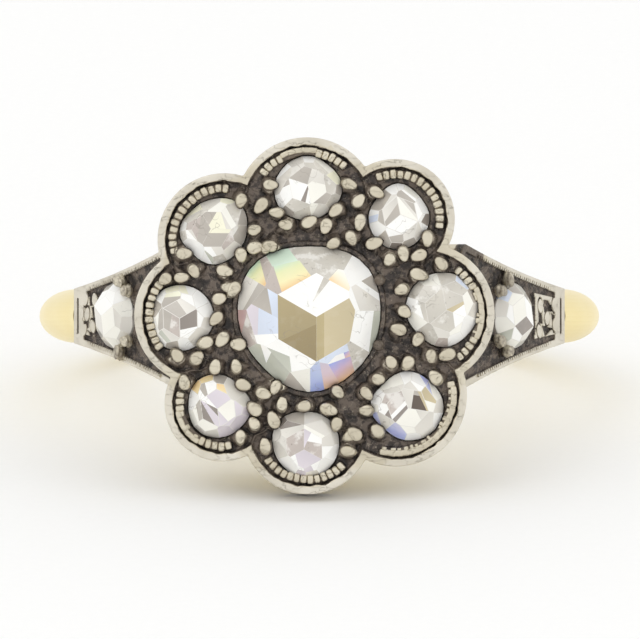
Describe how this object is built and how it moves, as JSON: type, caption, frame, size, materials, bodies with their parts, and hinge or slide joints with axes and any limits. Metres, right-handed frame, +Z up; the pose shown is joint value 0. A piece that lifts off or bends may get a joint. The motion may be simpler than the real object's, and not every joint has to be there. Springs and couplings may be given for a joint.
{
  "type": "cluster ring",
  "caption": "Finger ring with a scalloped silver head that holds a large rose-cut stone in a circle of smaller ones, on a gold shank with stone-set shoulders, lying on its side.",
  "frame": {"origin": "on the surface that the ring lies on, under the middle of its bounding box", "axes": "+Z up, -Y the way the head faces, +X to the right of the head as it is looked at; the finger's axis leans 14.4 degrees from +Z towards +Y"},
  "size_m": [0.02, 0.0236, 0.0122],
  "materials": {
    "gold": "satin",
    "silver": "satin, tarnished dark in the recesses",
    "stones": "polished"
  },
  "bodies": {
    "root": {"shank": "gold", "head": "silver", "shoulder_left": "silver", "shoulder_right": "silver", "centre_stone": "stones", "petal_stone_1": "stones", "petal_stone_2": "stones", "petal_stone_3": "stones", "petal_stone_4": "stones", "petal_stone_5": "stones", "petal_stone_6": "stones", "petal_stone_7": "stones", "petal_stone_8": "stones", "shoulder_stone_left": "stones", "shoulder_stone_right": "stones"}
  },
  "joints": []
}
